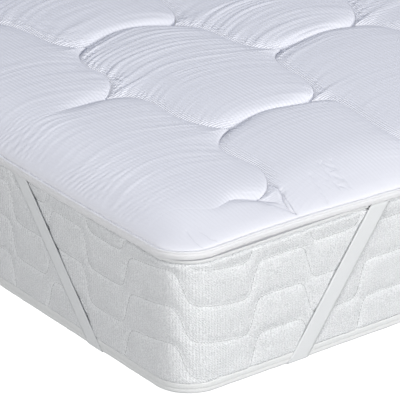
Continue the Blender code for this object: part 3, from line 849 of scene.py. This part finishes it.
def seamShadeTree():  # a thin dark tube sunk along a seam, which shows between the stitches: painted shade in the seam's fold
    tree, given = newTree("seamShadeLine", ("Step", "Radius"))
    circle = geoNode(tree, "CurvePrimitiveCircle", {"Resolution": 4, "Radius": given["Radius"]})
    sockets = {"Curve": evenRun(tree, given, "Step"), "Profile Curve": circle, "Fill Caps": True}
    return finishTree(tree, given, geoNode(tree, "CurveToMesh", sockets))


def makeTapes(materials):
    tree = tapeTree()
    count = round(perimeter() / sweep["step"])
    s = -perimeter() / 2 + perimeter() * np.arange(count) / count
    for name, tape in tapes.items():
        lift = edgeWave(*outlineAt(s)[:2]) if name == "bindingTape" else 0.0
        ring = placed(s, tape["out"], tape["low"] + tape["Height"] / 2 + lift)
        path, slot = pathObject(name, [(ring, True)]), tape["slot"]
        piece = runTree(tree, path, name, tape, materials[slot])
        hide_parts(tape["node"])


stitching = {
    "reach": 0.004, "proud": 0.0002, "thinned": 3,
    "thread": {"Pitch": 0.0056, "Length": 0.0036, "Radius": 0.0007},
    # the line is the dark tube of painted seam shade under the stitches
    "line": {"Step": 0.005, "Radius": 0.0006},
}


def makeBorderStitches(runs, wallOut, thread, shade):
    m, w = mattressSet, stitching
    paths = []
    for s, z in runs:
        free = (z > m["freeLow"][1] - w["reach"]) & (z < m["freeHigh"][0] + w["reach"])
        points = placed(s, wallOut(s, z) + w["proud"], z)
        cuts = np.flatnonzero(np.diff(free.astype(int))) + 1
        for part in np.split(np.arange(len(s)), cuts):
            if free[part[0]] and len(part) > 10:
                paths.append((points[part][::w["thinned"]], False))
    for name, tree, values, material in (("borderStitches", stitchTree(), w["thread"], thread),
                                         ("borderSeamShade", seamShadeTree(), w["line"], shade)):
        runTree(tree, pathObject(name, paths), name, values, material)


# straps

strapSet = {
    "width": 0.041, "thickness": 0.0012, "topShortSide": 0.415, "topLongSide": 0.4535, "bottom": 0.2445,
    "floorGap": 0.0004, "standoff": 0.0045, "tapeZ": 0.0022, "tapeRounding": 0.0034, "topZ": 0.2506,
    "acrossLines": 9, "sideLines": 40, "turnLines": 8, "underLines": 30, "thinEdge": 0.45, "cutWidth": 0.032,
}


def strapSide(rail, topCentre, wave):  # one line down a strap: how far in, how far along, and z
    t = strapSet
    centreZ = t["tapeZ"] + t["tapeRounding"]
    reach = centreZ - t["floorGap"] - t["thickness"] / 2
    topAlong, bottomAlong = topCentre + rail * t["width"] / 2, t["bottom"] + rail * t["width"] / 2
    top = np.array([-t["standoff"], topAlong, t["topZ"] + wave(-t["standoff"], topAlong)])
    low = np.array([t["tapeRounding"] - reach, bottomAlong, centreZ])
    share = (np.arange(t["sideLines"]) / t["sideLines"])[:, None]
    angle = np.linspace(0, math.pi / 2, t["turnLines"] + 1)
    turn = np.stack([t["tapeRounding"] - reach * np.cos(angle), np.full(angle.shape, bottomAlong),
                     centreZ - reach * np.sin(angle)], -1)
    return np.concatenate([top + (low - top) * share, turn])


def strapMiddle(signX, signY):  # the strap's middle surface: down the long side, under, and up the short side
    def wave(a, b):
        a, b = (a if signX < 0 else plan["width"] - a), (b if signY < 0 else plan["length"] - b)
        return edgeWave(a, b)

    lines = []
    share = (np.arange(1, strapSet["underLines"]) / strapSet["underLines"])[:, None]
    for rail in np.linspace(-1, 1, strapSet["acrossLines"]):
        down = strapSide(rail, strapSet["topLongSide"], wave)
        up = strapSide(rail, strapSet["topShortSide"], lambda across, along: wave(along, across))
        up = up[::-1, [1, 0, 2]]
        lines.append(np.concatenate([down, down[-1] + (up[0] - down[-1]) * share, up]))
    a, b, z = np.moveaxis(np.array(lines), -1, 0)
    return np.stack([signX * (plan["width"] / 2 - a), signY * (plan["length"] / 2 - b), z], -1)


def makeStrap(signX, signY, material):
    t = strapSet
    name = f"strap_{'left' if signX < 0 else 'right'}_{'front' if signY < 0 else 'back'}"
    middle = strapMiddle(signX, signY)
    lengthWay, crossWay = np.gradient(middle, axis=1), np.gradient(middle, axis=0)
    outward = np.cross(lengthWay, crossWay)
    outward /= np.linalg.norm(outward, axis=-1, keepdims=True)
    outward *= -signX * signY
    rail = np.linspace(-1, 1, t["acrossLines"])
    half = t["thickness"] / 2 * (1 - t["thinEdge"] * np.abs(rail) ** 6)[:, None, None]
    ring = np.concatenate([middle + outward * half, (middle - outward * half)[::-1]])
    around, count = ring.shape[:2]
    faces = tubeFaces(count, around)
    if signX * signY < 0:  # mirrored, so that its faces would point inwards
        faces = [face[::-1] for face in faces]
    points = ring.transpose(1, 0, 2).reshape(-1, 3)
    piece = meshPiece(name + "_woven", points, faces, material)
    centre = t["acrossLines"] // 2
    step = np.linalg.norm(np.diff(middle[centre], axis=0), axis=-1)
    along = np.concatenate([[0], np.cumsum(step)])
    floatAttribute(piece.data, "along", np.repeat(along, around))
    floatAttribute(piece.data, "across", np.tile(np.concatenate([rail, rail[::-1]]), count))
    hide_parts(name)


# materials


def objectPlace(tree):
    return addNode(tree, "ShaderNodeTexCoord")["Object"]


def attributeOf(tree, name):
    return addNode(tree, "ShaderNodeAttribute", attribute_name=name)["Fac"]


def waveOf(tree, value, pitch):
    return addMath(tree, "SINE", times(tree, value, 2 * math.pi / pitch))


def noiseOf(tree, scale, detail=2.0):
    sockets = {"Vector": objectPlace(tree), "Scale": scale, "Detail": detail}
    return addNode(tree, "ShaderNodeTexNoise", sockets)["Fac"]


def fineLine(tree, off, mark, width):  # 1 along a line, from the signed distance to it, and 0 away from it
    return times(tree, bell(tree, addMath(tree, "DIVIDE", off, width)), mark)


def finishCloth(material, look, parts):  # each part has a share of the tone and of the bump's height
    tree, tone, height = material.node_tree, look["tone"], 0.0
    shader = tree.nodes["Principled BSDF"]
    for name, share in look["tones"].items():
        tone = timesPlus(tree, parts[name], share, tone)
    for name, share in look["heights"].items():
        height = timesPlus(tree, parts[name], share, height)
    sockets = {0: tone, 6: (*look["dark"], 1), 7: (*look["light"], 1)}
    mix = addNode(tree, "ShaderNodeMix", sockets, data_type="RGBA")
    bump = addNode(tree, "ShaderNodeBump", {"Distance": look["depth"], "Height": height})
    tree.links.new(mix[2], shader.inputs["Base Color"])
    tree.links.new(bump[0], shader.inputs["Normal"])
    return material


cotton = {
    "colour": (0.85, 0.86, 0.90), "roughness": 0.8,
    "dark": (0.68, 0.68, 0.72), "light": (0.865, 0.867, 0.905), "tone": 0.70, "depth": 0.00042,
    # the last two tones are painted shade: along the seam, crease and hook lines, and next to the binding
    "tones": {"rib": 0.09, "tooth": 0.38, "paintedSeamWeight": -0.9, "edge": -0.38},
    "heights": {"rib": 0.38, "grain": 0.35, "tooth": 1.15, "fold": -2.6, "lines": -2.0},
    "ribPitch": 0.0075, "dashPitch": 0.0062, "toothPitch": 0.0048, "grainScale": 700.0,
    "creaseWidth": 0.0010, "hookWidth": 0.0011, "foldWidth": 0.0042,
}


def cottonMaterial():
    c = cotton
    material, tree = newMaterial("ribbedCotton", c)
    mark = lambda name: attributeOf(tree, name)
    split = addNode(tree, "ShaderNodeSeparateXYZ", {0: objectPlace(tree)})
    dash = timesPlus(tree, waveOf(tree, split["Y"], c["dashPitch"]), 0.14, 0.86)
    shown = timesPlus(tree, mark("inside"), 0.75, 0.25)
    lines = 0.0
    # thin painted shade lines along the creases and hook seams, which the bump also dents
    for name, width in (("Odd", "creaseWidth"), ("Even", "creaseWidth"), ("Hook", "hookWidth")):
        lines = plus(tree, lines, fineLine(tree, mark("off" + name), mark("mark" + name), c[width]))
    parts = {
        "rib": times(tree, times(tree, waveOf(tree, split["X"], c["ribPitch"]), dash), shown),
        "tooth": times(tree, waveOf(tree, split["Y"], c["toothPitch"]), mark("tooth")),
        "grain": noiseOf(tree, c["grainScale"]),
        "fold": fineLine(tree, mark("offFold"), mark("markFold"), c["foldWidth"]),
        "lines": lines,
        # painted shade along those lines and the row seams
        "paintedSeamWeight": addMath(tree, "MAXIMUM", lines, mark("seamShade")),
        # darker next to the binding, where the topper dips to it: painted shade
        "edge": addMath(tree, "POWER", addMath(tree, "SUBTRACT", 1.0, mark("inside")), 3.0),
    }
    return finishCloth(material, c, parts)


knit = {
    "colour": (0.62, 0.63, 0.64), "roughness": 0.85,
    "dark": (0.71, 0.722, 0.742), "light": (0.895, 0.908, 0.928), "tone": -1.95, "depth": 0.0012,
    # the last tone lightens the knit along the seams: a painted highlight
    "tones": {"stitch": 0.30, "grain": 4.2, "shadow": 0.4, "seamHighlight": 0.35},
    "heights": {"stitch": 0.8, "grain": 1.9},
    "columnPitch": 0.0056, "twillPitch": 0.0050, "twillSlope": 1.1, "columnShare": 0.3, "twillShare": 0.2,
    "grainScale": 520.0, "shadowScale": 26.0,
}


def knitMaterial():
    k = knit
    material, tree = newMaterial("quiltedKnit", k)
    split = addNode(tree, "ShaderNodeSeparateXYZ", {0: addNode(tree, "ShaderNodeUVMap", uv_map="wall")[0]})
    column = waveOf(tree, split["X"], k["columnPitch"])
    twill = waveOf(tree, timesPlus(tree, split["Y"], k["twillSlope"], split["X"]), k["twillPitch"])
    stitch = timesPlus(tree, column, k["columnShare"], timesPlus(tree, twill, k["twillShare"], 0.5))
    parts = {"stitch": stitch, "grain": noiseOf(tree, k["grainScale"], 1.0),
             "shadow": noiseOf(tree, k["shadowScale"]), "seamHighlight": attributeOf(tree, "seamHighlight")}
    return finishCloth(material, k, parts)


tapeCloths = {
    "bindingCloth": {"light": (0.845, 0.845, 0.865), "dark": (0.765, 0.765, 0.785)},
    "mattressTapeCloth": {"light": (0.83, 0.84, 0.845), "dark": (0.745, 0.755, 0.76)},
}

tapeWeave = {
    "roughness": 0.6, "pitch": 0.0011, "grainScale": 160.0, "tone": 0.0, "depth": 0.0005,
    "tones": {"weave": 0.15, "grain": 1.0}, "heights": {"weave": 0.2, "grain": 1.0},
}


def tapeMaterial(name):
    look = {**tapeWeave, **tapeCloths[name], "colour": tapeCloths[name]["light"]}
    material, tree = newMaterial(name, look)
    twill = plus(tree, attributeOf(tree, "along"), attributeOf(tree, "upward"))
    parts = {"weave": waveOf(tree, twill, look["pitch"]), "grain": noiseOf(tree, look["grainScale"], 3.0)}
    return finishCloth(material, look, parts)


elastic = {
    "colour": (0.70, 0.72, 0.73), "roughness": 0.55,
    "dark": (0.73, 0.745, 0.76), "light": (0.79, 0.805, 0.82), "tone": 0.5, "depth": 0.0002,
    "tones": {"cord": 0.18, "pick": 0.12}, "heights": {"cord": 0.6, "pick": 0.4},
    "cords": 11, "pickPitch": 0.0014,
}


def elasticMaterial():
    material, tree = newMaterial("wovenElastic", elastic)
    parts = {"cord": waveOf(tree, attributeOf(tree, "across"), 1 / elastic["cords"]),
             "pick": waveOf(tree, attributeOf(tree, "along"), elastic["pickPitch"])}
    return finishCloth(material, elastic, parts)


yarns = {
    "sewingThread": {
        "colour": (0.86, 0.87, 0.89), "dark": (0.80, 0.81, 0.83), "light": (0.90, 0.91, 0.93),
        "roughness": 0.5, "grainScale": 1500.0, "depth": 0.0001,
    },
    # a flat dark grey for the tube along the border seams: painted shade in their folds
    "paintedSeamShade": {
        "colour": (0.50, 0.51, 0.52), "dark": (0.44, 0.45, 0.46), "light": (0.56, 0.57, 0.58),
        "roughness": 0.9, "grainScale": 900.0, "depth": 0.0002,
    },
}


def yarnMaterial(name):
    look = {"tone": 0.0, "tones": {"grain": 1.0}, "heights": {"grain": 1.0}, **yarns[name]}
    material, tree = newMaterial(name, look)
    return finishCloth(material, look, {"grain": noiseOf(tree, look["grainScale"])})


materials = {
    "quilted_cotton": cottonMaterial(),
    "mattress_knit": knitMaterial(),
    "binding_tape": tapeMaterial("bindingCloth"),
    "mattress_tape": tapeMaterial("mattressTapeCloth"),
    "elastic": elasticMaterial(),
    "thread": yarnMaterial("sewingThread"),
    "shade": yarnMaterial("paintedSeamShade"),
}

makeTopper(materials["quilted_cotton"])
borderPaths, wallOut = makeMattress(materials["mattress_knit"])
makeTapes(materials)
makeBorderStitches(borderPaths, wallOut, materials["thread"], materials["shade"])
for signX in (-1, 1):
    for signY in (-1, 1):
        makeStrap(signX, signY, materials["elastic"])
print("straps")
